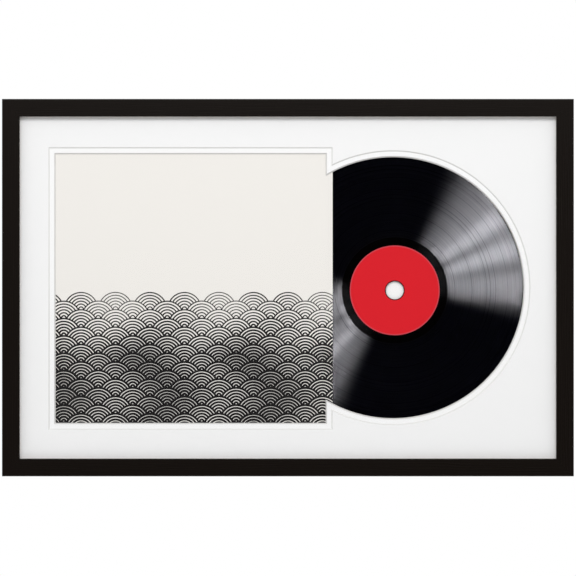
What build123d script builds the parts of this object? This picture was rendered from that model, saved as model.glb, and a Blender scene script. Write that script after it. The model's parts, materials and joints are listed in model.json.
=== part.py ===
from build123d import *
import os
from math import asin, cos, degrees, pi, radians, sin

# A wall frame that shows a record half out of its album sleeve. Four mitred rails hold a
# package of flat layers: glazing sheet, two bevel-cut mats, an insert board that keeps the
# sleeve and the record in place, a mount board and a backing board. Turn buttons on the rail
# backs keep the package in, two strap hangers carry the frame and four bumpers keep it level.
#
# The origin is the centre of the outline on the wall plane. +X runs to the right for someone
# who looks at the front, +Z runs up and the front faces -Y. A height is a distance from the
# wall plane towards the viewer. All lengths are in millimetres.

# Section of the moulding
rail_face = 19.5
rabbet_width = 6.35
lip_thickness = 6.35
outer_edge_radius = 1.0
sight_edge_radius = 0.6

# Layers of the package, front to back
glazing_thickness = 1.6
mat_thickness = 1.4
mount_board_thickness = 1.4
backing_thickness = 3.0
backing_recess = 0.4
package_play = 1.0

# Record
record_radius = 150.8
record_thickness = 1.9
record_hole_radius = 10.0
groove_relief = 0.2
runout_width = 9.0
bead_width = 4.8
bead_slope = 1.2
label_radius = 50.0
label_hole_margin = 0.6
track_gap_width = 1.2
track_gap_depth = 0.06
track_gap_share = (0.31, 0.614)

# Album sleeve, a folded card pocket that opens to the right, and the record pulled out of it
sleeve_room = 6.35
record_pull = 226.35
record_drop = 2.0
sleeve_card = 0.5
sleeve_fold_radius = 0.7
pocket_play = 0.3

# Borders of the package round the sleeve and the record
left_border = 38.85
right_border = 33.55
top_border = 39.25
bottom_border = 37.25

# Windows of the mats: a square for the sleeve, run together with a circle for the record.
# Each covers the rim of what it shows
sleeve_left_cover = 5.8
sleeve_right_cover = 7.8
sleeve_end_cover = 7.6
record_cover = 5.5
record_window_shift = 2.1
record_window_rise = 2.9
mat_reveal = 6.35
bevel_angle = 45.0

# Insert board that lies round the sleeve and the record
insert_air = 0.3
insert_play = 1.0
seat_clearance = 0.1

# Turn buttons
leaf_thickness = 1.0
leaf_end_radius = 4.75
leaf_tip_width = 6.0
leaf_tip_length = 3.0
leaf_overlap = 9.0
leaf_clearance = 0.1
pin_clearance = 0.08
long_rail_button_share = (-0.42, 0.42)

# Screws of the turn buttons and the hangers
screw_shank_radius = 1.45
screw_length = 10.0
screw_head_radius = 2.6
screw_head_height = 1.5

# Strap hangers with their D-rings
hanger_drop = 90.0
strap_gauge = 0.6
strap_width = 8.0
strap_shoulder = 3.2
strap_corner_cut = 2.2
strap_screw_gap = 0.8
strap_end_margin = 4.5
ring_wire_radius = 0.9
ring_half_width = 5.4
ring_leg = 5.0
ring_bow_stretches = 4
ring_rest_gap = 0.3

# Corner nails, V-shaped steel wedges pressed into the backs of the mitres
nail_gauge = 0.5
nail_leg = 6.0
nail_height = 10.0
nail_inset = 4.0

# Wall bumpers
bumper_height = 4.0
bumper_width = 9.5
bumper_inset = 30.0

# Heights of the layers above the wall plane
sleeve_thickness = record_thickness + pocket_play + 2 * sleeve_card
insert_thickness = sleeve_thickness + insert_air
rail_back = bumper_height
backing_back = rail_back + backing_recess
mount_board_back = backing_back + backing_thickness
insert_back = mount_board_back + mount_board_thickness
under_mat_back = insert_back + insert_thickness
top_mat_back = under_mat_back + mat_thickness
glazing_back = top_mat_back + mat_thickness
lip_back = glazing_back + glazing_thickness
rail_front = lip_back + lip_thickness

# The frame is made to its contents: the record sets the sleeve, the sleeve and the borders set
# the package, and the package with its play and the rails' back strips sets the outline
sleeve_size = 2 * (record_radius + sleeve_room)
package_width = left_border + sleeve_size / 2 + record_pull + record_radius + right_border
package_height = sleeve_size + top_border + bottom_border
back_strip = rail_face - rabbet_width
frame_width = package_width + 2 * package_play + 2 * back_strip
frame_height = package_height + 2 * package_play + 2 * back_strip
strip_x = frame_width / 2 - back_strip / 2
strip_z = frame_height / 2 - back_strip / 2

# Places of the sleeve and the record, and the windows that show them
sleeve_x = left_border - package_width / 2 + sleeve_size / 2
sleeve_z = (bottom_border - top_border) / 2
record_x = sleeve_x + record_pull
record_z = sleeve_z - record_drop
square_window_width = sleeve_size - sleeve_left_cover - sleeve_right_cover
square_window_height = sleeve_size - 2 * sleeve_end_cover
square_window_x = sleeve_x + (sleeve_left_cover - sleeve_right_cover) / 2
circle_window_radius = record_radius - record_cover
circle_window_x = record_x - record_window_shift
circle_window_z = record_z + record_window_rise


def front_plane(height):
    """Plane that faces the viewer at a height above the wall: its x is +X and its y is +Z."""
    return Plane.XZ.offset(height)


def on_rail_back(x, z):
    """Point on the plane of the rail backs."""
    return (x, -rail_back, z)


# Screw, pointing away from the wall, with the underside of its head at the origin
with BuildPart() as screw:
    with BuildSketch(Plane.XY):
        with BuildLine():
            Polyline(
                (0, screw_head_height),
                (screw_head_radius, screw_head_height),
                (screw_head_radius, 0),
                (screw_shank_radius, 0),
                (screw_shank_radius, -screw_length),
                (0, -screw_length),
                close=True,
            )
        make_face()
    revolve(axis=Axis.Y)


# Turn buttons: two on each long rail and one on each stile, each with its pivot on the middle
# of the rail's back strip and its tip towards the middle of the frame
button_seats = {
    "left_turn_button": ((-strip_x, 0), (1, 0, 0)),
    "right_turn_button": ((strip_x, 0), (-1, 0, 0)),
}
for column, share in zip(("left", "right"), long_rail_button_share):
    button_x = share * frame_width / 2
    button_seats[f"top_{column}_turn_button"] = ((button_x, strip_z), (0, 0, -1))
    button_seats[f"bottom_{column}_turn_button"] = ((button_x, -strip_z), (0, 0, 1))

leaf_tip_centre = back_strip / 2 + leaf_overlap - leaf_tip_length / 2


def turn_button(pivot, inward):
    """Flat steel leaf, tapered from its round end to its square tip, with a running hole."""
    leaf_plane = Plane(
        origin=(pivot[0], leaf_clearance - rail_back, pivot[1]), x_dir=inward, z_dir=(0, 1, 0)
    )
    with BuildPart() as leaf:
        with BuildSketch(leaf_plane):
            Circle(leaf_end_radius)
            with Locations((leaf_tip_centre, 0)):
                Rectangle(leaf_tip_length, leaf_tip_width)
            make_hull()
            Circle(screw_shank_radius + pin_clearance, mode=Mode.SUBTRACT)
        extrude(amount=leaf_thickness)
    return leaf.part


# Screws of the turn buttons: the head runs clear of the leaf
button_screw_height = rail_back - leaf_thickness - 2 * leaf_clearance
button_screw_places = [(x, -button_screw_height, z) for (x, z), inward in button_seats.values()]
with BuildPart() as turn_button_screws:
    with Locations(*button_screw_places):
        add(screw.part)
turn_button_screws.part.label = "turn_button_screws"


# Strap hangers: a strip folded round the bar of the ring, its two layers screwed to the stile
# below the reach of the ring, which hangs down over the strip when the frame is off its hooks
strap_plate = 2 * strap_gauge
eye_bore_radius = ring_wire_radius + pin_clearance
eye_radius = eye_bore_radius + strap_gauge
ring_reach = ring_leg + ring_half_width
hanger_z = frame_height / 2 - hanger_drop
hanger_sides = {"left": -strip_x, "right": strip_x}
strap_screw_z = hanger_z - ring_reach - ring_wire_radius - strap_screw_gap - screw_head_radius
strap_length = hanger_z - strap_screw_z + strap_end_margin


def hanger_strap(x):
    """Folded strap: a round eye above a double plate with cut lower corners and a hole."""
    profile_plane = Plane(origin=on_rail_back(x, hanger_z), x_dir=(0, 0, 1), z_dir=(-1, 0, 0))
    with BuildPart() as strap:
        with BuildSketch(profile_plane):
            with Locations((0, eye_radius)):
                Circle(eye_radius)
            with Locations((-strap_shoulder / 2, strap_plate / 2)):
                Rectangle(strap_shoulder, strap_plate)
            make_hull()
            with Locations((-strap_length / 2, strap_plate / 2)):
                Rectangle(strap_length, strap_plate)
            with Locations((0, eye_radius)):
                Circle(eye_bore_radius, mode=Mode.SUBTRACT)
        extrude(amount=strap_width / 2, both=True)
        lower_corners = strap.edges().filter_by(Axis.Y).group_by(Axis.Z)[0]
        chamfer(lower_corners, length=strap_corner_cut)
        with BuildSketch(front_plane(rail_back)):
            with Locations((x, strap_screw_z)):
                Circle(screw_shank_radius + pin_clearance)
        extrude(amount=-strap_plate, mode=Mode.SUBTRACT)
    return strap.part


hanger_screw_places = [(x, strap_plate - rail_back, strap_screw_z) for x in hanger_sides.values()]
with BuildPart() as hanger_screws:
    with Locations(*hanger_screw_places):
        add(screw.part)
hanger_screws.part.label = "hanger_screws"


# The free ring leans on the plate of its strap, so it hangs a little off plumb
ring_lean = degrees(asin((strap_plate + ring_wire_radius + ring_rest_gap - eye_radius) / ring_reach))


def d_ring(x):
    """Closed ring of round wire: a bar in the strap's eye, two legs and a bow of short stretches."""
    ring_plane = Plane(
        origin=(x, eye_radius - rail_back, hanger_z),
        x_dir=(1, 0, 0),
        z_dir=(0, cos(radians(ring_lean)), sin(radians(ring_lean))),
    )
    start = (ring_half_width, ring_leg / 2)
    bow = [
        (-ring_half_width * cos(pi * i / ring_bow_stretches),
         ring_leg + ring_half_width * sin(pi * i / ring_bow_stretches))
        for i in range(ring_bow_stretches + 1)
    ]
    with BuildPart() as ring:
        with BuildLine(ring_plane) as wire_line:
            Polyline(start, (ring_half_width, 0), (-ring_half_width, 0), *bow, start)
        with BuildSketch(Plane(origin=wire_line.line @ 0, z_dir=wire_line.line % 0)):
            Circle(ring_wire_radius)
        sweep(transition=Transition.RIGHT)
    return ring.part


# Corner nails: one V across each mitre, its point towards the corner and one leg in each rail
nail_corner_x = frame_width / 2 - nail_inset
nail_corner_z = frame_height / 2 - nail_inset
with BuildPart() as corner_nails:
    for side_x in (-1, 1):
        for side_z in (-1, 1):
            with BuildSketch(front_plane(rail_back)):
                with BuildLine():
                    Polyline(
                        (side_x * (nail_corner_x - nail_leg), side_z * nail_corner_z),
                        (side_x * nail_corner_x, side_z * nail_corner_z),
                        (side_x * nail_corner_x, side_z * (nail_corner_z - nail_leg)),
                    )
                trace(line_width=nail_gauge)
            extrude(amount=nail_height)
corner_nails.part.label = "corner_nails"


# Rails: the rabbeted section is drawn square to the run, carried along it and mitred by the
# trapezium that the rail covers in the outline
def mitred_rail(outward, run, reach, half_run):
    """One rail. outward points from the middle of the frame to it and run points along it."""
    sight_edge = reach - rail_face
    rabbet_edge = sight_edge + rabbet_width
    with BuildPart() as rail:
        with BuildSketch(Plane(origin=(0, 0, 0), x_dir=outward, z_dir=run)) as section:
            with BuildLine():
                Polyline(
                    (reach, rail_back),
                    (reach, rail_front),
                    (sight_edge, rail_front),
                    (sight_edge, lip_back),
                    (rabbet_edge, lip_back),
                    (rabbet_edge, rail_back),
                    close=True,
                )
            make_face()
            outer_corner = section.vertices().group_by(Axis.Y)[-1].sort_by(Axis.X)[-1]
            fillet(outer_corner, radius=outer_edge_radius)
            sight_corner = section.vertices().group_by(Axis.Y)[-1].sort_by(Axis.X)[0]
            fillet(sight_corner, radius=sight_edge_radius)
        extrude(amount=half_run, both=True)
        with BuildSketch(Plane(origin=(0, -rail_back, 0), x_dir=run, z_dir=(0, -1, 0))):
            with BuildLine():
                Polyline(
                    (-half_run, reach),
                    (half_run, reach),
                    (half_run - rail_face, sight_edge),
                    (rail_face - half_run, sight_edge),
                    close=True,
                )
            make_face()
        extrude(amount=rail_front - rail_back, mode=Mode.INTERSECT)
        add(corner_nails.part, mode=Mode.SUBTRACT)
        add(turn_button_screws.part, mode=Mode.SUBTRACT)
        add(hanger_screws.part, mode=Mode.SUBTRACT)
    return rail.part


rail_courses = {
    "top_rail": ((0, 0, 1), (1, 0, 0), frame_height / 2, frame_width / 2),
    "bottom_rail": ((0, 0, -1), (-1, 0, 0), frame_height / 2, frame_width / 2),
    "left_stile": ((-1, 0, 0), (0, 0, 1), frame_width / 2, frame_height / 2),
    "right_stile": ((1, 0, 0), (0, 0, -1), frame_width / 2, frame_height / 2),
}


# Flat layers: each stands on the floor of the bottom rabbet, so it lies low by its play
def package_layer():
    """Outline that every flat layer of the package shares, for a sketch on a front plane."""
    with Locations((0, -package_play)):
        Rectangle(package_width, package_height)


with BuildPart() as glazing_sheet:
    with BuildSketch(front_plane(glazing_back)):
        package_layer()
    extrude(amount=glazing_thickness)
glazing_sheet.part.label = "glazing_sheet"

with BuildPart() as mount_board:
    with BuildSketch(front_plane(mount_board_back)):
        package_layer()
    extrude(amount=mount_board_thickness)
mount_board.part.label = "mount_board"

with BuildPart() as backing_board:
    with BuildSketch(front_plane(backing_back)):
        package_layer()
    extrude(amount=backing_thickness)
backing_board.part.label = "backing_board"


# Mats: the window is widest at the front, where the blade leaves the board
def cut_bevelled_window(height, margin):
    """Cuts the square and circle windows, both larger by a margin, out of the mat in hand."""
    with BuildSketch(front_plane(height)) as square_window:
        with Locations((square_window_x, sleeve_z)):
            Rectangle(square_window_width + 2 * margin, square_window_height + 2 * margin)
    extrude(square_window.sketch, amount=mat_thickness, taper=-bevel_angle, mode=Mode.SUBTRACT)
    with BuildSketch(front_plane(height)) as circle_window:
        with Locations((circle_window_x, circle_window_z)):
            Circle(circle_window_radius + margin)
    extrude(circle_window.sketch, amount=mat_thickness, taper=-bevel_angle, mode=Mode.SUBTRACT)


with BuildPart() as top_mat:
    with BuildSketch(front_plane(top_mat_back)):
        package_layer()
    extrude(amount=mat_thickness)
    cut_bevelled_window(top_mat_back, mat_reveal)
top_mat.part.label = "top_mat"

with BuildPart() as under_mat:
    with BuildSketch(front_plane(under_mat_back)):
        package_layer()
    extrude(amount=mat_thickness)
    cut_bevelled_window(under_mat_back, 0)
under_mat.part.label = "under_mat"


# Insert board: its cut-out follows the sleeve and the record, which both stand on its edge
with BuildPart() as insert_board:
    with BuildSketch(front_plane(insert_back)):
        package_layer()
        with Locations((sleeve_x, sleeve_z + insert_play / 2)):
            Rectangle(sleeve_size + 2 * insert_play, sleeve_size + insert_play, mode=Mode.SUBTRACT)
        with Locations((record_x, sleeve_z)):
            Circle(record_radius + record_drop + seat_clearance, mode=Mode.SUBTRACT)
    extrude(amount=insert_thickness)
insert_board.part.label = "insert_board"


# Album sleeve: a card box hollowed from its open right edge, with a rounded spine on the left
with BuildPart() as album_sleeve:
    with BuildSketch(front_plane(insert_back)):
        with Locations((sleeve_x, sleeve_z)):
            Rectangle(sleeve_size, sleeve_size)
    extrude(amount=sleeve_thickness)
    spine_edges = album_sleeve.edges().filter_by(Axis.Z).group_by(Axis.X)[0]
    fillet(spine_edges, radius=sleeve_fold_radius)
    offset(amount=-sleeve_card, openings=album_sleeve.faces().sort_by(Axis.X)[-1])
album_sleeve.part.label = "album_sleeve"


# Record: half of its section, turned about the spindle axis. Each side has a raised bead at
# the rim and a label in its middle, which lies level with the bead. The front has track gaps
record_middle = insert_back + sleeve_thickness / 2
record_plane = Plane(origin=(record_x, -record_middle, record_z), x_dir=(1, 0, 0), z_dir=(0, 0, -1))
record_axis = Axis(origin=(record_x, -record_middle, record_z), direction=(0, 1, 0))
face_level = record_thickness / 2
groove_level = face_level - groove_relief
groove_inner_radius = label_radius + runout_width
groove_outer_radius = record_radius - bead_width
groove_band = groove_outer_radius - groove_inner_radius

front_gaps = []
for share in track_gap_share:
    gap_radius = groove_inner_radius + share * groove_band
    front_gaps.append((gap_radius - track_gap_width / 2, groove_level))
    front_gaps.append((gap_radius, groove_level - track_gap_depth))
    front_gaps.append((gap_radius + track_gap_width / 2, groove_level))

with BuildPart() as vinyl_record:
    with BuildSketch(record_plane):
        with BuildLine():
            Polyline(
                (record_hole_radius, groove_level),
                *front_gaps,
                (groove_outer_radius, groove_level),
                (groove_outer_radius + bead_slope, face_level),
                (record_radius, face_level),
                (record_radius, -face_level),
                (groove_outer_radius + bead_slope, -face_level),
                (groove_outer_radius, -groove_level),
                (record_hole_radius, -groove_level),
                close=True,
            )
        make_face()
    revolve(axis=record_axis)
vinyl_record.part.label = "vinyl_record"


def record_label(height):
    """Paper disc that fills the relief of a side, its back face at a height."""
    with BuildPart() as label:
        with BuildSketch(front_plane(height)):
            with Locations((record_x, record_z)):
                Circle(label_radius)
                Circle(record_hole_radius + label_hole_margin, mode=Mode.SUBTRACT)
        extrude(amount=groove_relief)
    return label.part


record_labels = {
    "front_label": record_middle + groove_level,
    "back_label": record_middle - face_level,
}


# Wall bumpers: square rubber pads near the corners, their flat ends on the wall plane
bumper_places = [
    on_rail_back(side_x * (frame_width / 2 - bumper_inset), side_z * strip_z)
    for side_x in (-1, 1)
    for side_z in (-1, 1)
]
with BuildPart() as bumpers:
    for place in bumper_places:
        with BuildSketch(Plane(origin=place, x_dir=(1, 0, 0), z_dir=(0, 1, 0))):
            Rectangle(bumper_width, bumper_width)
        extrude(amount=bumper_height)
bumpers.part.label = "bumpers"


# One STEP file for each piece, named as its node
os.makedirs("parts", exist_ok=True)
export_step(glazing_sheet.part, "parts/glazing_sheet.step")
export_step(top_mat.part, "parts/top_mat.step")
export_step(under_mat.part, "parts/under_mat.step")
export_step(insert_board.part, "parts/insert_board.step")
export_step(mount_board.part, "parts/mount_board.step")
export_step(backing_board.part, "parts/backing_board.step")
export_step(album_sleeve.part, "parts/album_sleeve.step")
export_step(vinyl_record.part, "parts/vinyl_record.step")
export_step(corner_nails.part, "parts/corner_nails.step")
export_step(turn_button_screws.part, "parts/turn_button_screws.step")
export_step(hanger_screws.part, "parts/hanger_screws.step")
export_step(bumpers.part, "parts/bumpers.step")

repeated = {}
for name, course in rail_courses.items():
    repeated[name] = mitred_rail(*course)
for name, seat in button_seats.items():
    repeated[name] = turn_button(*seat)
for name, x in hanger_sides.items():
    repeated[f"{name}_hanger_strap"] = hanger_strap(x)
    repeated[f"{name}_d_ring"] = d_ring(x)
for name, height in record_labels.items():
    repeated[name] = record_label(height)
for name, piece in repeated.items():
    piece.label = name
    export_step(piece, f"parts/{name}.step")
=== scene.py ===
# %% [markdown]
# # A wall frame for a record and its sleeve
# The solids of this frame come from a CAD model: four mitred rails, two mats with bevelled
# windows, a sleeve, a record, boards and small steel fittings. This lesson loads them, gives
# each surface its finish, and models again the few pieces that need finer shapes than CAD gave.
# Everything is in metres. The front of the frame faces -Y and the wall is the plane y = 0.

import bmesh
import bpy
import json
from math import asin, cos, degrees, pi, radians, sin
from mathutils import Matrix, Vector

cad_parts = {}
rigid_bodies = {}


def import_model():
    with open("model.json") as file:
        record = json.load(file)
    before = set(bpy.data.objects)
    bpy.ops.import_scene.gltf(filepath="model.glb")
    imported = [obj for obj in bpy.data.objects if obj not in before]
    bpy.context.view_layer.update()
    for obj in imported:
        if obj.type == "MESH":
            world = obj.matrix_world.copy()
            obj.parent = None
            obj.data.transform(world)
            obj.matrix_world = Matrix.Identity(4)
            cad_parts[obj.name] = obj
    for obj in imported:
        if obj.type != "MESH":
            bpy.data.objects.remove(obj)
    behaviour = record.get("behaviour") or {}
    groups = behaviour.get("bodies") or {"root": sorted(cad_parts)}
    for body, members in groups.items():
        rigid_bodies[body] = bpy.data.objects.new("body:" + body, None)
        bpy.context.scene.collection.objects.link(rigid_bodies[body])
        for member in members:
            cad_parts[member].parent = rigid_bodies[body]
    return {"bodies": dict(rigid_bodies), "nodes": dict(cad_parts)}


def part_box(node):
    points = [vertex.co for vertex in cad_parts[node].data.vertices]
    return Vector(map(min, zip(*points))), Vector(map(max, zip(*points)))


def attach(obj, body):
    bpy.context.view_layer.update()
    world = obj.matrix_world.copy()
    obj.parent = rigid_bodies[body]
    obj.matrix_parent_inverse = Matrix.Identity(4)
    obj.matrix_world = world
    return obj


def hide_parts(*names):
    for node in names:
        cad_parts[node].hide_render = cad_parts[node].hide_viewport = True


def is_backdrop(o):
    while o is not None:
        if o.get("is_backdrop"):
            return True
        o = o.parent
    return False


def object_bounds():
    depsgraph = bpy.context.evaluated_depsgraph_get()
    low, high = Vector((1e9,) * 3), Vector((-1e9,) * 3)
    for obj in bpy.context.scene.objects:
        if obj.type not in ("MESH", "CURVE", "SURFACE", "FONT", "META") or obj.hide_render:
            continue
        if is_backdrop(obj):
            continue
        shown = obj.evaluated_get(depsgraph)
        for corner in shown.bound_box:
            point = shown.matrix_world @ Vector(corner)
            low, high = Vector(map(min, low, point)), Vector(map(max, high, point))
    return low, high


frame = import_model()
nodes = frame["nodes"]
cad_low, cad_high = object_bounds()
MM = 0.001
print("solids:", len(nodes), "outline in mm:", [round(v / MM, 1) for v in cad_high - cad_low])

# %% [markdown]
# Colours are picked on a screen, so they are written here as sRGB hex values. The renderer
# counts light, not screen values, and each channel has to be bent to a linear number first.

# %% Colours
def colour(hex_code):
    """An sRGB hex colour as the linear RGBA that a shader takes."""
    channels = [int(hex_code[i:i + 2], 16) / 255 for i in (1, 3, 5)]
    linear = [c / 12.92 if c <= 0.04045 else ((c + 0.055) / 1.055) ** 2.4 for c in channels]
    return (*linear, 1.0)


print("mid grey #808080 is", round(colour("#808080")[0], 3), "of full light")

# %% [markdown]
# A material is a small graph of nodes. One helper adds a node, sets what it is told and joins
# its inputs, so that each finish below reads as a short list of what it is made of. A socket
# given to an input becomes a link, and anything else becomes the input's own value.

# %% Node helper
def add(tree, kind, inputs=None, output=0, **settings):
    """Add a node of a kind and return one of its outputs, or the node if it has none."""
    node = tree.nodes.new(kind)
    for name, value in settings.items():
        setattr(node, name, value)
    for name, value in (inputs or {}).items():
        if isinstance(value, bpy.types.NodeSocket):
            tree.links.new(value, node.inputs[name])
        else:
            node.inputs[name].default_value = value
    return node.outputs[output] if len(node.outputs) else node


def new_material(name):
    """An empty node material and its tree."""
    material = bpy.data.materials.new(name)
    material.use_nodes = True
    material.node_tree.nodes.clear()
    return material, material.node_tree


# %% [markdown]
# The camera looks straight at the frame, as a catalogue picture does. A long lens from far away
# keeps the deep layers from shrinking, so the inner faces of the rails show as hairlines only.
# The distance follows from the frame's width and how much of the picture it fills, and a move
# of less than a pixel puts the frame where the picture has it.

# %% Camera
LENS, SENSOR, PICTURE = 200.0, 36.0, 576
FRAME_PIXELS = 571.96
PIXELS_ASIDE, PIXELS_DOWN = 0.08, 0.37
FAR_END = 20.0
metres_per_pixel = (cad_high.x - cad_low.x) / FRAME_PIXELS
distance = metres_per_pixel * PICTURE * LENS / SENSOR
aside, down = PIXELS_ASIDE * metres_per_pixel, PIXELS_DOWN * metres_per_pixel
bpy.ops.object.camera_add(
    location=(aside, cad_low.y - distance, -down), rotation=(pi / 2, 0, 0))
camera = bpy.context.object
camera.data.lens = LENS
camera.data.sensor_width = SENSOR
camera.data.clip_end = FAR_END
bpy.context.scene.camera = camera
bpy.context.scene.view_settings.view_transform = "Standard"
print("camera distance:", round(distance, 3), "m")

# %% [markdown]
# The world does two jobs. To the eye, and to whatever mirrors what is behind the frame, it is a
# plain white background. The room in front of the frame stays dark in mirrors, so the clear
# sheet doesn't lay a grey veil over the black record. To matt surfaces it is an even soft fill.
# An even world needs no sampling of its own, and without it each ray keeps to its own part.

# %% World
FILL = 0.65
world = bpy.data.worlds.new("studio")
world.use_nodes = True
world.cycles.sampling_method = "NONE"
bpy.context.scene.world = world
tree = world.node_tree
tree.nodes.clear()
direction = add(tree, "ShaderNodeTexCoord", output="Generated")
depth = add(tree, "ShaderNodeSeparateXYZ", {"Vector": direction}, output="Y")
behind = add(tree, "ShaderNodeMapRange", {"Value": depth, "From Min": 0.3, "From Max": 0.8})
camera_ray = add(tree, "ShaderNodeLightPath", output="Is Camera Ray")
glossy_ray = add(tree, "ShaderNodeLightPath", output="Is Glossy Ray")
clear_ray = add(tree, "ShaderNodeLightPath", output="Is Transmission Ray")
mirrored = add(tree, "ShaderNodeMath", {0: glossy_ray, 1: clear_ray}, operation="MAXIMUM")
mirrored_white = add(tree, "ShaderNodeMath", {0: mirrored, 1: behind}, operation="MULTIPLY")
seen_white = add(tree, "ShaderNodeMath", {0: camera_ray, 1: mirrored_white}, operation="MAXIMUM")
matt_ray = add(tree, "ShaderNodeMath", {0: 1.0, 1: mirrored}, operation="SUBTRACT")
fill = add(tree, "ShaderNodeMath", {0: matt_ray, 1: FILL}, operation="MULTIPLY")
strength = add(tree, "ShaderNodeMath", {0: seen_white, 1: fill}, operation="MAXIMUM")
background = add(tree, "ShaderNodeBackground", {"Color": colour("#ffffff"), "Strength": strength})
add(tree, "ShaderNodeOutputWorld", {"Surface": background})
print("fill light:", FILL)

# %% [markdown]
# A pale floor lies well below the frame, which hangs on its wall at eye height. It is out of
# the main view and only sends some light up from below.

# %% Floor
FLOOR_DROP, FLOOR_SIDE = 1.4, 3.0
bpy.ops.mesh.primitive_plane_add(
    size=FLOOR_SIDE, location=(0, 0, cad_low.z - FLOOR_DROP))
floor = bpy.context.object
floor.name = "floor"
material, tree = new_material("painted_floor")
shade = add(tree, "ShaderNodeBsdfPrincipled", {"Base Color": colour("#ececea"), "Roughness": 0.8})
add(tree, "ShaderNodeOutputMaterial", {"Surface": shade})
floor.data.materials.append(material)
floor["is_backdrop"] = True
print("floor at", round(floor.location.z, 3), "m")

# %% [markdown]
# One large soft lamp above and in front gives the mats their light and the top rail its short
# shadow. The record is left out of this lamp by light linking: its grooves would turn a lamp
# straight above into a bright bar from top to bottom, which such a picture avoids.

# %% Main lamp
def aim(lamp, target):
    """Turn a lamp so that it shines at a point."""
    lamp.rotation_euler = (Vector(target) - lamp.location).to_track_quat("-Z", "Y").to_euler()


MAIN_TILT, MAIN_DISTANCE = radians(31), 2.4
MAIN_WIDTH, MAIN_HEIGHT, MAIN_POWER = 1.92, 0.78, 28.3
bpy.ops.object.light_add(
    type="AREA",
    location=(0, -MAIN_DISTANCE * cos(MAIN_TILT), MAIN_DISTANCE * sin(MAIN_TILT)))
main_lamp = bpy.context.object
main_lamp.name = "main_lamp"
main_lamp.data.shape = "RECTANGLE"
main_lamp.data.size = MAIN_WIDTH
main_lamp.data.size_y = MAIN_HEIGHT
main_lamp.data.energy = MAIN_POWER
aim(main_lamp, (0, 0, 0))
all_but_record = bpy.data.collections.new("all_but_record")
main_lamp.light_linking.receiver_collection = all_but_record
print("main lamp:", MAIN_POWER, "W")

# %% [markdown]
# The record needs lamps of its own. Each groove is a tiny round mirror, so a lamp to the right
# shows as a fan of light from the label to the rim, and once more, weaker, on the other side.
# Slim lamps at different turns about the spindle give the bright streaks: four to the right and
# three to the left, each with its turn in degrees, its width and its power. Their light is a
# little cool. It reaches only the record, and there only the gloss, and leaves all else as is.

# %% Record lamps
record_low, record_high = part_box("vinyl_record")
spindle = (Vector(record_low) + Vector(record_high)) / 2
FAN_TILT, FAN_DISTANCE = radians(46), 1.1
COOL_LIGHT = colour("#f9f8ff")[:3]
FAN_LAMPS = (
    (1, 0.19, 57), (19, 0.14, 77), (33, 0.14, 78), (48, 0.22, 24),
    (190, 0.12, 50), (226, 0.10, 56), (238, 0.15, 22),
)
only_record = bpy.data.collections.new("only_record")
for turn, width, power in FAN_LAMPS:
    flat = FAN_DISTANCE * sin(FAN_TILT)
    place = spindle + Vector((
        flat * cos(radians(turn)), -FAN_DISTANCE * cos(FAN_TILT), flat * sin(radians(turn))))
    bpy.ops.object.light_add(type="AREA", location=place)
    lamp = bpy.context.object
    lamp.name = f"fan_lamp_{turn}"
    lamp.data.size = width
    lamp.data.energy = power
    lamp.data.color = COOL_LIGHT
    lamp.visible_diffuse = False
    lamp.light_linking.receiver_collection = only_record
    aim(lamp, spindle)
print("record lamps:", len(FAN_LAMPS))

# %% [markdown]
# The rails are plain wood mouldings sprayed with satin lacquer in a warm black, which leaves a
# faint grain along each rail. So rails and stiles get the same finish with the grain turned.
# Makers leave the hidden back raw, which the surface's own direction tells us.

# %% Black lacquered wood
def lacquered_wood(name, along):
    """Satin black lacquer in front, raw pine behind, with grain along X or Z."""
    material, tree = new_material(name)
    place = add(tree, "ShaderNodeTexCoord", output="Object")
    grain_mm = (60.0, 0.7, 0.7) if along == "X" else (0.7, 0.7, 60.0)
    stretch = tuple(1 / (mm * MM) for mm in grain_mm)
    grain_place = add(tree, "ShaderNodeMapping", {"Vector": place, "Scale": stretch})
    grain = add(tree, "ShaderNodeTexNoise", {"Vector": grain_place, "Scale": 1.0, "Detail": 4.0})
    normal = add(tree, "ShaderNodeTexCoord", output="Normal")
    facing_wall = add(tree, "ShaderNodeSeparateXYZ", {"Vector": normal}, output="Y")
    raw = add(tree, "ShaderNodeMath", {0: facing_wall, 1: 0.5}, operation="GREATER_THAN")
    lacquer = add(tree, "ShaderNodeMix", {
        "Factor": grain, 6: colour("#130f0c"), 7: colour("#19130f")}, output=2, data_type="RGBA")
    pine = add(tree, "ShaderNodeMix", {
        "Factor": grain, 6: colour("#b98f5e"), 7: colour("#d8b88a")}, output=2, data_type="RGBA")
    tint = add(tree, "ShaderNodeMix", {"Factor": raw, 6: lacquer, 7: pine}, output=2,
               data_type="RGBA")
    rough = add(tree, "ShaderNodeMapRange", {"Value": grain, "To Min": 0.24, "To Max": 0.30})
    bump = add(tree, "ShaderNodeBump", {"Height": grain, "Strength": 0.25, "Distance": 0.05 * MM})
    shade = add(tree, "ShaderNodeBsdfPrincipled", {
        "Base Color": tint, "Roughness": rough, "Normal": bump, "IOR": 1.5,
        "Specular IOR Level": 0.22})
    add(tree, "ShaderNodeOutputMaterial", {"Surface": shade})
    return material


rail_wood = lacquered_wood("black_lacquered_rail_wood", "X")
stile_wood = lacquered_wood("black_lacquered_stile_wood", "Z")
print("made", rail_wood.name, "and", stile_wood.name)

# %% [markdown]
# Mat board is thick paper pulp with a smooth white face. Its windows are cut with a slanted
# blade, which lays the core open as a narrow bevel. The bevel is painted greyer than the core,
# as painted shade: it gives the fine shadow line round each window. The surface's own direction
# tells the bevel from the face: a face looks along an axis when most of its normal does. The
# face has a very slight fibre, a fraction of a millimetre wide.

# %% Mat board
ALONG = 0.9


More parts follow.
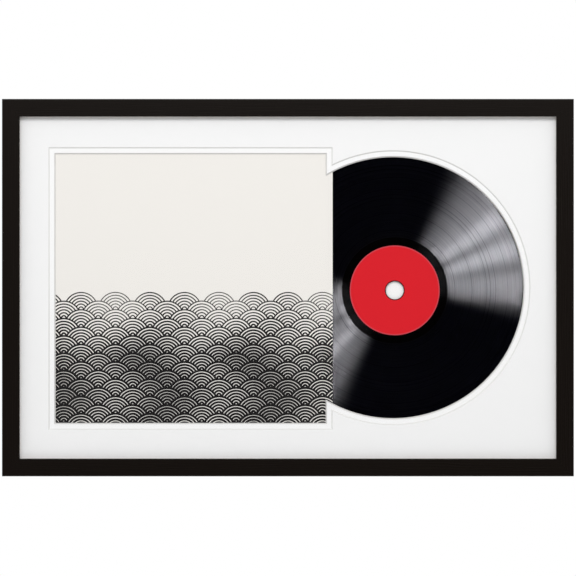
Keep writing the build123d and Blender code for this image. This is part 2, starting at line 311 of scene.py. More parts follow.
def mat_board(name, face_hex, core_and_shade_hex):
    """Matt paper board with its bevel painted greyer, as painted shade round the window."""
    material, tree = new_material(name)
    place = add(tree, "ShaderNodeTexCoord", output="Object")
    fibre_place = add(tree, "ShaderNodeMapping", {
        "Vector": place, "Scale": (1 / (1.4 * MM), 1 / (0.5 * MM), 1 / (0.8 * MM))})
    fibre = add(tree, "ShaderNodeTexNoise", {"Vector": fibre_place, "Scale": 1.0, "Detail": 3.0})
    normal = add(tree, "ShaderNodeTexCoord", output="Normal")
    depth = add(tree, "ShaderNodeSeparateXYZ", {"Vector": normal}, output="Y")
    flat = add(tree, "ShaderNodeMath", {0: depth}, operation="ABSOLUTE")
    face = add(tree, "ShaderNodeMath", {0: flat, 1: ALONG}, operation="GREATER_THAN")
    # The bevel gets the greyer colour, painted shade for the shadow line round the window.
    tint = add(tree, "ShaderNodeMix", {"Factor": face, 6: colour(core_and_shade_hex), 7: colour(face_hex)},
               output=2, data_type="RGBA")
    bump = add(tree, "ShaderNodeBump", {"Height": fibre, "Strength": 0.12, "Distance": 0.04 * MM})
    shade = add(tree, "ShaderNodeBsdfPrincipled", {
        "Base Color": tint, "Roughness": 0.85, "Normal": bump, "IOR": 1.5,
        "Specular IOR Level": 0.3})
    add(tree, "ShaderNodeOutputMaterial", {"Surface": shade})
    return material


# Each board's second colour is its bevel, made greyer than its core as painted shade.
top_board = mat_board("white_mat_board", "#f7f7f7", "#e9e9e7")
under_board = mat_board("bright_white_mat_board", "#fbfbfb", "#dddcda")
mount_paper = mat_board("white_mount_board", "#fefefe", "#f4f4f2")
print("made", top_board.name + ",", under_board.name, "and", mount_paper.name)

# %% [markdown]
# The foam board and the mount board lie behind the mats. The foam board is white paper over a
# foam core, which has fine round cells where it is cut.

# %% Foam board
foam_board, tree = new_material("paper_faced_foam_board")
place = add(tree, "ShaderNodeTexCoord", output="Object")
cells = add(tree, "ShaderNodeTexVoronoi", {"Vector": place, "Scale": 1 / (0.5 * MM)})
bump = add(tree, "ShaderNodeBump", {"Height": cells, "Strength": 0.3, "Distance": 0.1 * MM})
shade = add(tree, "ShaderNodeBsdfPrincipled", {
    "Base Color": colour("#f3f3f1"), "Roughness": 0.8, "Normal": bump})
add(tree, "ShaderNodeOutputMaterial", {"Surface": shade})
print("made", foam_board.name)

# %% [markdown]
# The backing is hardboard: brown wood fibres pressed to a hard, slightly shiny sheet. Fibres
# show as short pale and dark flecks about a millimetre long that lie in every direction.

# %% Hardboard
hardboard, tree = new_material("pressed_hardboard")
place = add(tree, "ShaderNodeTexCoord", output="Object")
fleck = add(tree, "ShaderNodeTexNoise", {
    "Vector": place, "Scale": 1 / (1.2 * MM), "Detail": 5.0, "Roughness": 0.7, "Distortion": 1.5})
cloud = add(tree, "ShaderNodeTexNoise", {"Vector": place, "Scale": 1 / (45 * MM), "Detail": 2.0})
fleck_tint = add(tree, "ShaderNodeMapRange", {
    "Value": fleck, "From Min": 0.3, "From Max": 0.7})
brown = add(tree, "ShaderNodeMix", {
    "Factor": fleck_tint, 6: colour("#5d3c23"), 7: colour("#8a6039")}, output=2, data_type="RGBA")
clouded = add(tree, "ShaderNodeMix", {
    "Factor": cloud, 6: brown, 7: colour("#6f4a2c")}, output=2, data_type="RGBA")
bump = add(tree, "ShaderNodeBump", {"Height": fleck, "Strength": 0.3, "Distance": 0.08 * MM})
shade = add(tree, "ShaderNodeBsdfPrincipled", {
    "Base Color": clouded, "Roughness": 0.5, "Normal": bump})
add(tree, "ShaderNodeOutputMaterial", {"Surface": shade})
print("made", hardboard.name)

# %% [markdown]
# The sleeve is cream card with a printed band of scales, an old pattern of fans of rings laid
# over one another like roof tiles. Each point belongs to the lowest fan that covers it. Five
# rows can reach a point, so a loop asks each row in turn, from the top one down, how far its
# nearest fan's middle is, and a lower row writes over a higher one.

# %% Fans of the print
FAN_RADIUS = 19.2 * MM
ROW_STEP = FAN_RADIUS / 2
TOP_ROW_HEIGHT = -24.0 * MM
sleeve_card, tree = new_material("printed_sleeve_card")
place = add(tree, "ShaderNodeTexCoord", output="Object")
across = add(tree, "ShaderNodeSeparateXYZ", {"Vector": place}, output="X")
up = add(tree, "ShaderNodeSeparateXYZ", {"Vector": place}, output="Z")
above_top = add(tree, "ShaderNodeMath", {0: up, 1: TOP_ROW_HEIGHT}, operation="SUBTRACT")
rows = add(tree, "ShaderNodeMath", {0: above_top, 1: ROW_STEP}, operation="DIVIDE")
lowest = add(tree, "ShaderNodeMath", {0: rows, 1: FAN_RADIUS / ROW_STEP},
             operation="SUBTRACT")
lowest_row = add(tree, "ShaderNodeMath", {0: lowest}, operation="CEIL")
ring_distance, covered = 1.0, 0.0
for step in (4, 3, 2, 1, 0):
    row = add(tree, "ShaderNodeMath", {0: lowest_row, 1: float(step)}, operation="ADD")
    odd = add(tree, "ShaderNodeMath", {0: row, 1: 2.0}, operation="FLOORED_MODULO")
    slide = add(tree, "ShaderNodeMath", {0: odd, 1: FAN_RADIUS, 2: across},
                operation="MULTIPLY_ADD")
    side = add(tree, "ShaderNodeMath", {0: slide, 1: -FAN_RADIUS, 2: FAN_RADIUS},
               operation="WRAP")
    climb = add(tree, "ShaderNodeMath", {0: rows, 1: row}, operation="SUBTRACT")
    rise = add(tree, "ShaderNodeMath", {0: climb, 1: ROW_STEP}, operation="MULTIPLY")
    offset = add(tree, "ShaderNodeCombineXYZ", {"X": side, "Y": rise})
    reach = add(tree, "ShaderNodeVectorMath", {0: offset}, output="Value", operation="LENGTH")
    within = add(tree, "ShaderNodeMath", {0: reach, 1: FAN_RADIUS}, operation="LESS_THAN")
    printed = add(tree, "ShaderNodeMath", {0: row, 1: 0.5}, operation="LESS_THAN")
    here = add(tree, "ShaderNodeMath", {0: within, 1: printed}, operation="MULTIPLY")
    ring_distance = add(tree, "ShaderNodeMix", {0: here, 2: ring_distance, 3: reach})
    covered = add(tree, "ShaderNodeMath", {0: covered, 1: here}, operation="MAXIMUM")
print("fans of", round(FAN_RADIUS / MM, 1), "mm in rows every", round(ROW_STEP / MM, 1), "mm")

# %% [markdown]
# The distance from the fan's middle draws its rings. The lines grow heavier towards the bottom
# edge, and a slow drift makes them thicker and thinner on the way, as a pen does under more or
# less hand. Only a face that looks to the front is printed. The card itself is smooth, with the
# faint unevenness of coated paper.

# %% Lines of the print
RING_STEP = 3.2 * MM
HEAVY_HEIGHT = -76.0 * MM
DRIFT_SHARE = 0.07
DRIFT_ACROSS = 2 * pi / (118 * MM)
DRIFT_UP = 2 * pi / (96 * MM)
ring_count = add(tree, "ShaderNodeMath", {0: ring_distance, 1: RING_STEP}, operation="DIVIDE")
ring_part = add(tree, "ShaderNodeMath", {0: ring_count}, operation="FRACT")
swing = add(tree, "ShaderNodeMath", {0: up, 1: DRIFT_UP}, operation="MULTIPLY")
sway = add(tree, "ShaderNodeMath", {0: swing}, operation="SINE")
phase = add(tree, "ShaderNodeMath", {0: across, 1: DRIFT_ACROSS, 2: sway},
            operation="MULTIPLY_ADD")
drift = add(tree, "ShaderNodeMath", {0: phase}, operation="SINE")
bare_at_height = add(tree, "ShaderNodeMapRange", {
    "Value": up, "From Min": HEAVY_HEIGHT, "From Max": TOP_ROW_HEIGHT,
    "To Min": 0.2, "To Max": 0.62})
bare_part = add(tree, "ShaderNodeMath", {0: drift, 1: DRIFT_SHARE, 2: bare_at_height},
                operation="MULTIPLY_ADD")
line = add(tree, "ShaderNodeMath", {0: ring_part, 1: bare_part}, operation="GREATER_THAN")
ink = add(tree, "ShaderNodeMath", {0: line, 1: covered}, operation="MULTIPLY")
normal = add(tree, "ShaderNodeTexCoord", output="Normal")
facing = add(tree, "ShaderNodeSeparateXYZ", {"Vector": normal}, output="Y")
front = add(tree, "ShaderNodeMath", {0: facing, 1: -ALONG}, operation="LESS_THAN")
front_ink = add(tree, "ShaderNodeMath", {0: ink, 1: front}, operation="MULTIPLY")
tint = add(tree, "ShaderNodeMix", {
    "Factor": front_ink, 6: colour("#f3f0eb"), 7: colour("#161415")}, output=2, data_type="RGBA")
fibre = add(tree, "ShaderNodeTexNoise", {"Vector": place, "Scale": 1 / (0.6 * MM), "Detail": 3.0})
bump = add(tree, "ShaderNodeBump", {"Height": fibre, "Strength": 0.2, "Distance": 0.03 * MM})
shade = add(tree, "ShaderNodeBsdfPrincipled", {
    "Base Color": tint, "Roughness": 0.6, "Normal": bump, "Specular IOR Level": 0.3})
add(tree, "ShaderNodeOutputMaterial", {"Surface": shade})
print("lines every", round(RING_STEP / MM, 1), "mm on", sleeve_card.name)

# %% [markdown]
# Record and label are round, so their finishes go by the distance from the spindle. A helper
# works it out at each point, along with the direction from the spindle to the point.

# %% Distance from the spindle
def about_spindle(tree, place):
    """From a place on the record, its vector from the spindle axis and its radius in mm."""
    offset = add(tree, "ShaderNodeVectorMath", {0: place, 1: spindle}, operation="SUBTRACT")
    in_plane = add(tree, "ShaderNodeVectorMath", {0: offset, 1: (1.0, 0.0, 1.0)},
                   operation="MULTIPLY")
    radius = add(tree, "ShaderNodeVectorMath", {0: in_plane}, output="Value",
                 operation="LENGTH")
    return in_plane, add(tree, "ShaderNodeMath", {0: radius, 1: MM}, operation="DIVIDE")


print("spindle in mm:", [round(v / MM, 1) for v in spindle])

# %% [markdown]
# The record is pressed black PVC. Its groove turns round the spindle some eight times in each
# millimetre, far too fine to model, so the shader does it: an anisotropic gloss is rough along
# the radius and smooth along the groove. The radius at each point, taken from the spindle, is
# the direction that it needs. The gloss has a short fall-off, which ends the fans of light
# crisply and keeps the rest black. Loud and quiet music cuts the groove wider and narrower,
# which shows as rings up to two millimetres wide. The gaps between tracks and the run-out have
# no groove and shine far less. The body mirrors a quarter of what this plastic really does,
# with stronger lamps to make up for it, because the exported model mixes the colours of both
# shaders and would turn grey.

# %% Record vinyl
TRACK_GAPS_MM = (67.0, 86.0, 102.5, 106.6, 112.4, 126.0, 135.0, 139.0)
GAP_WIDTH_MM = 0.9
GROOVE_INNER_MM, GROOVE_OUTER_MM = 59.0, 146.0
RINGS_PER_MM = 0.55
RUNOUT_SHINE, GAP_SHINE = 0.015, 0.2
MIRROR_SHARE = 0.0225
record_vinyl, tree = new_material("pressed_record_vinyl")
place = add(tree, "ShaderNodeTexCoord", output="Object")
in_plane, radius_mm = about_spindle(tree, place)
outward = add(tree, "ShaderNodeVectorMath", {0: in_plane}, operation="NORMALIZE")
past_runout = add(tree, "ShaderNodeMath", {0: radius_mm, 1: GROOVE_INNER_MM},
                  operation="GREATER_THAN")
before_bead = add(tree, "ShaderNodeMath", {0: radius_mm, 1: GROOVE_OUTER_MM},
                  operation="LESS_THAN")
grooved = add(tree, "ShaderNodeMath", {0: past_runout, 1: before_bead}, operation="MULTIPLY")
for gap in TRACK_GAPS_MM:
    away = add(tree, "ShaderNodeMath", {0: radius_mm, 1: gap}, operation="SUBTRACT")
    apart = add(tree, "ShaderNodeMath", {0: away}, operation="ABSOLUTE")
    outside = add(tree, "ShaderNodeMath", {0: apart, 1: GAP_WIDTH_MM / 2},
                  operation="GREATER_THAN")
    grooved = add(tree, "ShaderNodeMath", {0: grooved, 1: outside}, operation="MULTIPLY")
loudness = add(tree, "ShaderNodeTexNoise", {
    "W": radius_mm, "Scale": RINGS_PER_MM, "Detail": 5.0, "Roughness": 0.7},
    noise_dimensions="1D")
ring_shine = add(tree, "ShaderNodeMapRange", {
    "Value": loudness, "From Min": 0.3, "From Max": 0.7, "To Min": 0.36, "To Max": 0.64})
smooth_shine = add(tree, "ShaderNodeMix", {0: past_runout, 2: RUNOUT_SHINE, 3: GAP_SHINE})
shine = add(tree, "ShaderNodeMix", {0: grooved, 2: smooth_shine, 3: ring_shine})
runout_tint = add(tree, "ShaderNodeMix", {
    "Factor": past_runout, 6: colour("#050404"), 7: colour("#07070e")}, output=2,
    data_type="RGBA")
body_shade = add(tree, "ShaderNodeBsdfDiffuse", {"Color": runout_tint})
groove_shade = add(tree, "ShaderNodeBsdfAnisotropic", {
    "Color": colour("#ffffff"), "Roughness": 0.32, "Anisotropy": -0.684,
    "Tangent": outward}, distribution="BECKMANN")
mirror_part = add(tree, "ShaderNodeMath", {0: shine, 1: MIRROR_SHARE}, operation="MULTIPLY")
shade = add(tree, "ShaderNodeMixShader", {0: mirror_part, 1: body_shade, 2: groove_shade})
add(tree, "ShaderNodeOutputMaterial", {"Surface": shade})
print("track gaps:", len(TRACK_GAPS_MM))

# %% [markdown]
# The label is red paper pressed flush into the record, with nothing printed on it: a plain
# label is no one's. A thin lighter ring just inside its edge is a painted highlight, and a dark
# ring round the hole is painted shade.

# %% Label paper
LABEL_HIGHLIGHT_MM = 48.8
HOLE_SHADE_MM = 11.2
label_paper, tree = new_material("red_label_paper")
place = add(tree, "ShaderNodeTexCoord", output="Object")
in_plane, radius_mm = about_spindle(tree, place)
# Past this radius the red is painted lighter, a painted highlight along the label's edge.
edge = add(tree, "ShaderNodeMath", {0: radius_mm, 1: LABEL_HIGHLIGHT_MM}, operation="GREATER_THAN")
with_edge_highlight = add(tree, "ShaderNodeMix", {
    "Factor": edge, 6: colour("#df1323"), 7: colour("#cf4450")}, output=2, data_type="RGBA")
# Inside this radius the label is painted dark red, painted shade at the rim of the hole.
hole_shade = add(tree, "ShaderNodeMath", {0: radius_mm, 1: HOLE_SHADE_MM}, operation="LESS_THAN")
tint = add(tree, "ShaderNodeMix", {"Factor": hole_shade, 6: with_edge_highlight, 7: colour("#8c0d17")}, output=2,
           data_type="RGBA")
fibre = add(tree, "ShaderNodeTexNoise", {"Vector": place, "Scale": 1 / (0.4 * MM), "Detail": 3.0})
bump = add(tree, "ShaderNodeBump", {"Height": fibre, "Strength": 0.2, "Distance": 0.03 * MM})
shade = add(tree, "ShaderNodeBsdfPrincipled", {
    "Base Color": tint, "Roughness": 0.6, "Normal": bump, "Specular IOR Level": 0.2})
add(tree, "ShaderNodeOutputMaterial", {"Surface": shade})
print("made", label_paper.name)

# %% [markdown]
# The glazing is clear acrylic. It mirrors a few percent head on and more at a slant, and lets
# the rest through. Full refraction would bend nothing that shows in a flat sheet but would
# keep the lamps out, so the sheet is a see-through shader with a mirror over it. A face seen
# from inside doesn't mirror, so the sheet's far side adds no false mirror of its own.

# %% Clear acrylic
clear_acrylic, tree = new_material("clear_acrylic_sheet")
slant = add(tree, "ShaderNodeFresnel", {"IOR": 1.49})
backside = add(tree, "ShaderNodeNewGeometry", output="Backfacing")
facing = add(tree, "ShaderNodeMath", {0: 1.0, 1: backside}, operation="SUBTRACT")
mirror_part = add(tree, "ShaderNodeMath", {0: slant, 1: facing}, operation="MULTIPLY")
through = add(tree, "ShaderNodeBsdfTransparent", {"Color": colour("#ffffff")})
mirror = add(tree, "ShaderNodeBsdfGlossy", {"Roughness": 0.02})
shade = add(tree, "ShaderNodeMixShader", {0: mirror_part, 1: through, 2: mirror})
add(tree, "ShaderNodeOutputMaterial", {"Surface": shade})
print("made", clear_acrylic.name)

# %% [markdown]
# Turn buttons, screws, hangers, rings and corner nails are stamped or drawn steel with a thin
# zinc coat: pale grey, half bright, with slight clouds where the coat is thicker.

# %% Zinc-plated steel
zinc_steel, tree = new_material("zinc_plated_steel")
place = add(tree, "ShaderNodeTexCoord", output="Object")
cloud = add(tree, "ShaderNodeTexNoise", {"Vector": place, "Scale": 1 / (2.5 * MM), "Detail": 4.0})
tint = add(tree, "ShaderNodeMix", {
    "Factor": cloud, 6: colour("#b9bcbf"), 7: colour("#d3d5d6")}, output=2, data_type="RGBA")
rough = add(tree, "ShaderNodeMapRange", {"Value": cloud, "To Min": 0.25, "To Max": 0.45})
shade = add(tree, "ShaderNodeBsdfPrincipled", {
    "Base Color": tint, "Metallic": 1.0, "Roughness": rough})
add(tree, "ShaderNodeOutputMaterial", {"Surface": shade})
print("made", zinc_steel.name)

# %% [markdown]
# The wall pads are soft grey polyurethane, cast with a smooth skin that is a little cloudy.

# %% Pad rubber
pad_rubber, tree = new_material("cast_polyurethane_pad")
place = add(tree, "ShaderNodeTexCoord", output="Object")
cloud = add(tree, "ShaderNodeTexNoise", {"Vector": place, "Scale": 1 / (3.0 * MM), "Detail": 2.0})
tint = add(tree, "ShaderNodeMix", {
    "Factor": cloud, 6: colour("#8f9193"), 7: colour("#a5a7a8")}, output=2, data_type="RGBA")
shade = add(tree, "ShaderNodeBsdfPrincipled", {
    "Base Color": tint, "Roughness": 0.38, "Subsurface Weight": 0.2,
    "Subsurface Radius": (0.8 * MM, 0.8 * MM, 0.8 * MM)})
add(tree, "ShaderNodeOutputMaterial", {"Surface": shade})
print("made", pad_rubber.name)

# %% [markdown]
# Now the finishes go onto the solids. A solid that keeps its CAD shape only gets a material.

# %% Finishes of the solids
FINISHES = {
    "top_rail": rail_wood, "bottom_rail": rail_wood,
    "left_stile": stile_wood, "right_stile": stile_wood,
    "glazing_sheet": clear_acrylic, "top_mat": top_board, "under_mat": under_board,
    "insert_board": foam_board, "mount_board": mount_paper, "backing_board": hardboard,
    "album_sleeve": sleeve_card, "vinyl_record": record_vinyl,
    "front_label": label_paper, "back_label": label_paper, "bumpers": pad_rubber,
}
for name, node in nodes.items():
    node.data.materials.clear()
    node.data.materials.append(FINISHES.get(name, zinc_steel))
print("finished solids:", len(nodes))

# %% [markdown]
# The next pieces are modelled here, because they need rounder edges than their CAD solids have.
# Work in edit mode goes by what is selected, so two helpers do the picking: one takes the faces
# and one the edges that pass a test on their place. A third picks one object, and a fourth ends
# a piece: its move, turn and scale go into its mesh, it gets its material, and it takes the
# place of its CAD solid.

# %% Picking and placing
NEAR, SAME_PLACE = 0.01 * MM, 0.001 * MM


def pick_faces(piece, test):
    """In edit mode, select the faces whose middle and normal pass a test."""
    bpy.ops.mesh.select_mode(type="FACE")
    bpy.ops.mesh.select_all(action="DESELECT")
    mesh = bmesh.from_edit_mesh(piece.data)
    for face in mesh.faces:
        if test(face.calc_center_median(), face.normal):
            face.select_set(True)
    bmesh.update_edit_mesh(piece.data)


def pick_edges(piece, test):
    """In edit mode, select the edges whose two end points pass a test."""
    bpy.ops.mesh.select_mode(type="EDGE")
    bpy.ops.mesh.select_all(action="DESELECT")
    mesh = bmesh.from_edit_mesh(piece.data)
    for edge in mesh.edges:
        if test(edge.verts[0].co, edge.verts[1].co):
            edge.select_set(True)
    bmesh.update_edit_mesh(piece.data)


def pick_object(piece):
    """Select one object and nothing else."""
    bpy.ops.object.select_all(action="DESELECT")
    piece.select_set(True)
    bpy.context.view_layer.objects.active = piece


def put_in_place(piece, name, node, place, material, smooth=30):
    """Move a piece that was modelled about the origin to its place, for good."""
    pick_object(piece)
    piece.matrix_world = place @ piece.matrix_world
    bpy.ops.object.transform_apply(location=True, rotation=True, scale=True)
    bpy.ops.object.shade_smooth_by_angle(angle=radians(smooth))
    piece.name = name
    piece.data.name = name
    piece.data.materials.clear()
    piece.data.materials.append(material)
    body = node if node in frame["bodies"] else "root"
    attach(piece, body)
    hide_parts(node)


# %% [markdown]
# The record is pressed between two steel stampers, so it is a turned shape: a flat raised bead
# at the rim, a slope of two tenths of a millimetre down to the grooved band, shallow steps at
# the gaps between tracks, and a smooth floor for the label. From the rim inwards, each ring
# below is a radius and how far the surface rises on the way to it.

# %% Rings of the record
RECORD_RADIUS, RECORD_THICKNESS = 150.8 * MM, 1.9 * MM
HOLE_RADIUS = 10.0 * MM
BEAD_RADIUS, BEAD_SLOPE, RELIEF = 147.2 * MM, 1.2 * MM, 0.2 * MM
GAP_STEP, GAP_DEPTH = 0.15 * MM, 0.05 * MM
RUNOUT_STEP = 0.3 * MM
LABEL_SEAT, LABEL_STEP = 50.2 * MM, 0.15 * MM
rings = [(BEAD_RADIUS, 0.0), (BEAD_RADIUS - BEAD_SLOPE, -RELIEF)]
for gap in sorted(TRACK_GAPS_MM, reverse=True):
    outer, inner = (gap + GAP_WIDTH_MM / 2) * MM, (gap - GAP_WIDTH_MM / 2) * MM
    rings += [(outer, 0.0), (outer - GAP_STEP, -GAP_DEPTH), (inner + GAP_STEP, 0.0),
              (inner, GAP_DEPTH)]
runout = GROOVE_INNER_MM * MM
rings += [(runout, 0.0), (runout - RUNOUT_STEP, -GAP_DEPTH), (LABEL_SEAT, 0.0),
          (LABEL_SEAT - LABEL_STEP, GAP_DEPTH), (HOLE_RADIUS, 0.0)]
print("rings of the record:", len(rings))

# %% [markdown]
# The record could be a section that is spun round. Insets do the same from a thin cylinder, one
# ring at a time, and leave even quads. It is modelled lying flat, front up. For the hole, the
# front's middle is extruded through to the back, both middles are deleted and the points
# merged. A bevel rounds the rim. In the end the record joins the lists of both kinds of lamp,
# and the main lamp's list marks it as left out.

# %% Record
RIM_ROUND, RECORD_SIDES = 0.45 * MM, 256
bpy.ops.object.select_all(action="DESELECT")
bpy.ops.mesh.primitive_cylinder_add(
    vertices=RECORD_SIDES, radius=RECORD_RADIUS, depth=RECORD_THICKNESS,
    end_fill_type="NGON")
record = bpy.context.object
bpy.ops.object.mode_set(mode="EDIT")
for side in (1, -1):
    pick_faces(record, lambda middle, normal: normal.z * side > ALONG)
    radius_now = RECORD_RADIUS
    for ring_radius, rise in rings:
        bpy.ops.mesh.inset(thickness=radius_now - ring_radius, depth=rise)
        radius_now = ring_radius
pick_faces(record, lambda middle, normal: middle.xy.length < HOLE_RADIUS / 2
           and normal.z > ALONG)
bpy.ops.mesh.extrude_region_move(
    TRANSFORM_OT_translate={"value": (0, 0, 2 * RELIEF - RECORD_THICKNESS)})
pick_faces(record, lambda middle, normal: middle.xy.length < HOLE_RADIUS / 2)
bpy.ops.mesh.delete(type="ONLY_FACE")
bpy.ops.mesh.select_all(action="SELECT")
bpy.ops.mesh.remove_doubles(threshold=SAME_PLACE)
pick_edges(record, lambda a, b: abs(a.z - b.z) < NEAR
           and min(a.xy.length, b.xy.length) > RECORD_RADIUS - NEAR)
bpy.ops.mesh.bevel(offset=RIM_ROUND, segments=4, affect="EDGES")
bpy.ops.mesh.select_all(action="SELECT")
bpy.ops.mesh.normals_make_consistent(inside=False)
bpy.ops.object.mode_set(mode="OBJECT")
upright = Matrix.Translation(spindle) @ Matrix.Rotation(pi / 2, 4, "X")
put_in_place(record, "turned_record", "vinyl_record", upright, record_vinyl,
             smooth=12)
for linked in (only_record, all_but_record):
    linked.objects.link(record)
all_but_record.collection_objects[0].light_linking.link_state = "EXCLUDE"
print("record faces:", len(record.data.polygons))

# %% [markdown]
# One screw serves all eight places: a pan head with a cross recess over a plain shank with a
# point. It is modelled standing up, head on top. The shank is extruded from the head's underside
# and drawn in to a point, and the head's rim is bevelled round.

# %% Screw
HEAD_RADIUS, HEAD_HEIGHT, HEAD_ROUND = 2.6 * MM, 1.5 * MM, 1.0 * MM
SHANK_RADIUS, SHANK_LENGTH = 1.45 * MM, 10.0 * MM
POINT_LENGTH, POINT_SHARE = 2.5 * MM, 0.12
SCREW_SIDES = 40
bpy.ops.object.select_all(action="DESELECT")
bpy.ops.mesh.primitive_cylinder_add(
    vertices=SCREW_SIDES, radius=HEAD_RADIUS, depth=HEAD_HEIGHT,
    location=(0, 0, HEAD_HEIGHT / 2))
screw = bpy.context.object
bpy.ops.object.transform_apply(location=True)
bpy.ops.object.mode_set(mode="EDIT")
pick_faces(screw, lambda middle, normal: normal.z < -ALONG)
bpy.ops.mesh.inset(thickness=HEAD_RADIUS - SHANK_RADIUS, depth=0)
bpy.ops.mesh.extrude_region_move(
    TRANSFORM_OT_translate={"value": (0, 0, POINT_LENGTH - SHANK_LENGTH)})
bpy.ops.mesh.extrude_region_move(TRANSFORM_OT_translate={"value": (0, 0, -POINT_LENGTH)})
bpy.ops.transform.resize(
    value=(POINT_SHARE, POINT_SHARE, 1), center_override=(0, 0, -SHANK_LENGTH))
pick_edges(screw, lambda a, b: min(a.z, b.z) > HEAD_HEIGHT - NEAR)
bpy.ops.mesh.bevel(offset=HEAD_ROUND, segments=5, affect="EDGES")
bpy.ops.object.mode_set(mode="OBJECT")
print("screw length in mm:", round(screw.dimensions.z / MM, 2))

# %% [markdown]
# A cross-head driver needs a recess of four arms that narrows with depth. A small cube grows
# four arms by extrusion, its underside is pulled down and shrunk for the taper, and a boolean
# modifier cuts it out of the head.

# %% Cross recess
ARM_WIDTH, ARM_LENGTH, RECESS_DEPTH = 0.5 * MM, 1.1 * MM, 1.0 * MM
FLOOR_SHARE = 0.45
bpy.ops.object.select_all(action="DESELECT")
bpy.ops.mesh.primitive_cube_add(size=ARM_WIDTH, location=(0, 0, HEAD_HEIGHT))
recess = bpy.context.object
bpy.ops.object.transform_apply(location=True)
bpy.ops.object.mode_set(mode="EDIT")
for turn in range(4):
    out = Vector((cos(turn * pi / 2), sin(turn * pi / 2), 0))
    pick_faces(recess, lambda middle, normal: normal.dot(out) > ALONG
               and abs(middle.cross(out).z) < NEAR)
    bpy.ops.mesh.extrude_region_move(TRANSFORM_OT_translate={"value": out * ARM_LENGTH})
pick_faces(recess, lambda middle, normal: normal.z < -ALONG)
bpy.ops.transform.translate(value=(0, 0, ARM_WIDTH / 2 - RECESS_DEPTH))
bpy.ops.transform.resize(
    value=(FLOOR_SHARE, FLOOR_SHARE, 1), center_override=(0, 0, HEAD_HEIGHT))
bpy.ops.object.mode_set(mode="OBJECT")
pick_object(screw)
bpy.ops.object.modifier_add(type="BOOLEAN")
screw.modifiers[0].object = recess
bpy.ops.object.modifier_apply(modifier=screw.modifiers[0].name)
bpy.data.objects.remove(recess)
print("screw faces:", len(screw.data.polygons))

# %% [markdown]
# The screws go in from the back, so each is turned to point at the front and set on its leaf or
# its strap. The CAD solids say where: each node holds all its screws, so the corners of its box
# are a head's radius past the outermost ones, and the leaves give the rest. Each screw is a
# copy with a mesh of its own, turned a little differently, since no one lines up screws by hand.

# %% Screws in place
TURN_BETWEEN_SCREWS = radians(37)
node_boxes = {name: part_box(name) for name in nodes}
highest = node_boxes["turn_button_screws"][1]
strip_x, strip_z = highest[0] - HEAD_RADIUS, highest[2] - HEAD_RADIUS
low, high = (Vector(corner) for corner in node_boxes["top_right_turn_button"])
button_x = ((low + high) / 2).x
leaf_screws = [(x, z) for x in (-button_x, button_x) for z in (-strip_z, strip_z)]
leaf_screws += [(-strip_x, 0.0), (strip_x, 0.0)]
strap_low = node_boxes["hanger_screws"][0][2]
strap_screws = [(x, strap_low + HEAD_RADIUS) for x in (-strip_x, strip_x)]
seats = [("turn_button_screws", x, z) for x, z in leaf_screws]
seats += [("hanger_screws", x, z) for x, z in strap_screws]
for count, (node, x, z) in enumerate(seats):
    pick_object(screw)
    bpy.ops.object.duplicate()
    copy = bpy.context.object
    head_back = node_boxes[node][1][1]
    place = Vector((x, head_back - HEAD_HEIGHT, z))
    turned = Matrix.Translation(place) @ Matrix.Rotation(-pi / 2, 4, "X")
    turned = turned @ Matrix.Rotation(TURN_BETWEEN_SCREWS * count, 4, "Z")
    put_in_place(copy, f"{node[:-1]}_{count + 1}", node, turned, zinc_steel)
bpy.data.objects.remove(screw)
print("screws set:", len(seats))

# %% [markdown]
# A D-ring is a straight length of steel wire bent round and closed inside the eye of its strap.
# The wire's section is a circle that is drawn along: extruded for the bar and the legs, and spun
# about each bend's middle for the corners and the bow. The ends meet in the bar and are merged.

# %% D-ring
WIRE_RADIUS, WIRE_SIDES = 0.9 * MM, 24
RING_HALF_WIDTH, RING_LEG, RING_CORNER = 5.4 * MM, 5.0 * MM, 1.5 * MM
CORNER_STEPS, BOW_STEPS = 8, 32
bar_end = RING_HALF_WIDTH - RING_CORNER
leg_run = RING_LEG - RING_CORNER
bpy.ops.object.select_all(action="DESELECT")
bpy.ops.mesh.primitive_circle_add(
    vertices=WIRE_SIDES, radius=WIRE_RADIUS, rotation=(0, pi / 2, 0))
ring = bpy.context.object
bpy.ops.object.transform_apply(rotation=True)
bpy.ops.object.mode_set(mode="EDIT")
bpy.ops.mesh.select_mode(type="VERT")
bpy.ops.mesh.select_all(action="SELECT")
bpy.ops.mesh.extrude_region_move(TRANSFORM_OT_translate={"value": (bar_end, 0, 0)})
bpy.ops.mesh.spin(steps=CORNER_STEPS, angle=pi / 2, center=(bar_end, 0, -RING_CORNER),
                  axis=(0, -1, 0))
bpy.ops.mesh.extrude_region_move(TRANSFORM_OT_translate={"value": (0, 0, -leg_run)})
bpy.ops.mesh.spin(steps=BOW_STEPS, angle=pi, center=(0, 0, -RING_LEG), axis=(0, -1, 0))
bpy.ops.mesh.extrude_region_move(TRANSFORM_OT_translate={"value": (0, 0, leg_run)})
bpy.ops.mesh.spin(steps=CORNER_STEPS, angle=pi / 2, center=(-bar_end, 0, -RING_CORNER),
                  axis=(0, -1, 0))
bpy.ops.mesh.extrude_region_move(TRANSFORM_OT_translate={"value": (bar_end, 0, 0)})
bpy.ops.mesh.select_all(action="SELECT")
bpy.ops.mesh.remove_doubles(threshold=NEAR)
bpy.ops.mesh.normals_make_consistent(inside=False)
bpy.ops.object.mode_set(mode="OBJECT")
print("ring span in mm:", [round(v / MM, 2) for v in ring.dimensions])

# %% [markdown]
# The bar lies in the middle of the strap's eye, so it is a wire's radius, the play and the
# strap's gauge in from the strap's rear face. The ring leans as far as its CAD solid does.

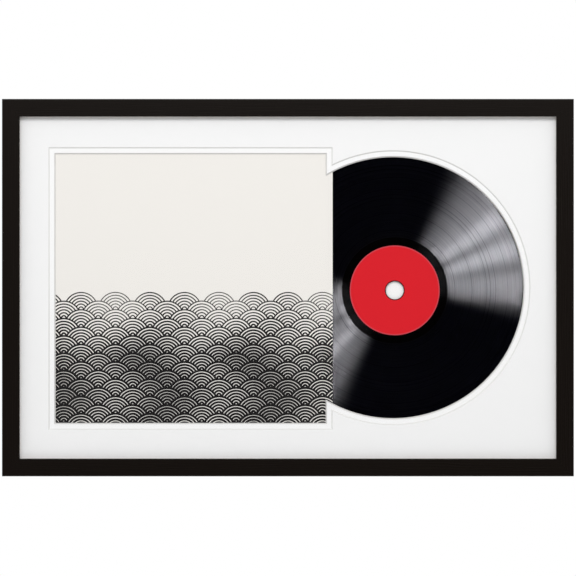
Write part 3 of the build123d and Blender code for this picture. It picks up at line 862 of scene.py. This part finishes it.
# %% Rings in place
RING_REACH = RING_LEG + RING_HALF_WIDTH
BAR_PLAY, STRAP_GAUGE = 0.08 * MM, 0.6 * MM
for side in ("left", "right"):
    low, high = (Vector(corner) for corner in node_boxes[f"{side}_d_ring"])
    eye_back = node_boxes[f"{side}_hanger_strap"][1][1]
    bar_depth = eye_back - (WIRE_RADIUS + BAR_PLAY + STRAP_GAUGE)
    bar = Vector(((low.x + high.x) / 2, bar_depth, high.z - WIRE_RADIUS))
    lean = asin((high.y - WIRE_RADIUS - bar_depth) / RING_REACH)
    pick_object(ring)
    bpy.ops.object.duplicate()
    place = Matrix.Translation(bar) @ Matrix.Rotation(lean, 4, "X")
    put_in_place(bpy.context.object, f"{side}_wire_ring", f"{side}_d_ring", place, zinc_steel,
                 smooth=60)
    print(side, "ring leans", round(degrees(lean), 2), "degrees")
bpy.data.objects.remove(ring)

# %% [markdown]
# The turn buttons and the folded straps are cut from sheet steel. Their CAD solids have the
# right form but knife-sharp edges, and real stamped parts are tumbled until the edges are dull
# and catch the light. So each gets a copy of its solid: the loose triangles are merged, flat
# faces are joined again, and a bevel modifier takes a tenth of a millimetre off each edge. The
# cast wall pads are done the same way, with rounder edges. The V-nails show only a hairline on
# the back of each mitre, so they keep their solids.

# %% Dull edges
LEAF_ROUND, STRAP_ROUND, PAD_ROUND = 0.12 * MM, 0.10 * MM, 0.8 * MM


def dull_copy(node, name, width, material, least_angle=35):
    """A copy of a CAD solid with a width taken off its edges sharper than an angle."""
    pick_object(nodes[node])
    bpy.ops.object.duplicate()
    piece = bpy.context.object
    piece.parent = None
    bpy.ops.object.mode_set(mode="EDIT")
    bpy.ops.mesh.select_mode(type="VERT")
    bpy.ops.mesh.select_all(action="SELECT")
    bpy.ops.mesh.remove_doubles(threshold=SAME_PLACE)
    bpy.ops.mesh.dissolve_limited(angle_limit=radians(1))
    bpy.ops.object.mode_set(mode="OBJECT")
    bpy.ops.object.modifier_add(type="BEVEL")
    bevel = piece.modifiers[0]
    bevel.width = width
    bevel.segments = 2
    bevel.limit_method = "ANGLE"
    bevel.angle_limit = radians(least_angle)
    bpy.ops.object.modifier_apply(modifier=bevel.name)
    put_in_place(piece, name, node, Matrix.Identity(4), material)


for node in nodes:
    if node.endswith("_turn_button"):
        dull_copy(node, node.replace("turn_button", "button_leaf"), LEAF_ROUND, zinc_steel)
    elif node.endswith("_hanger_strap"):
        dull_copy(node, node.replace("hanger_strap", "folded_strap"), STRAP_ROUND, zinc_steel,
                  least_angle=50)
dull_copy("bumpers", "moulded_pads", PAD_ROUND, pad_rubber)
print("leaf, strap and pad edges in mm:",
      [round(width / MM, 2) for width in (LEAF_ROUND, STRAP_ROUND, PAD_ROUND)])

# %% [markdown]
# Last, the box of what is rendered now is printed. It should be the same as the CAD model's
# box printed at the start, since no finish and no rounder edge makes the frame any larger.

# %% Sizes
low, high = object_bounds()
print("outline now in mm:", [round(v / MM, 1) for v in high - low])
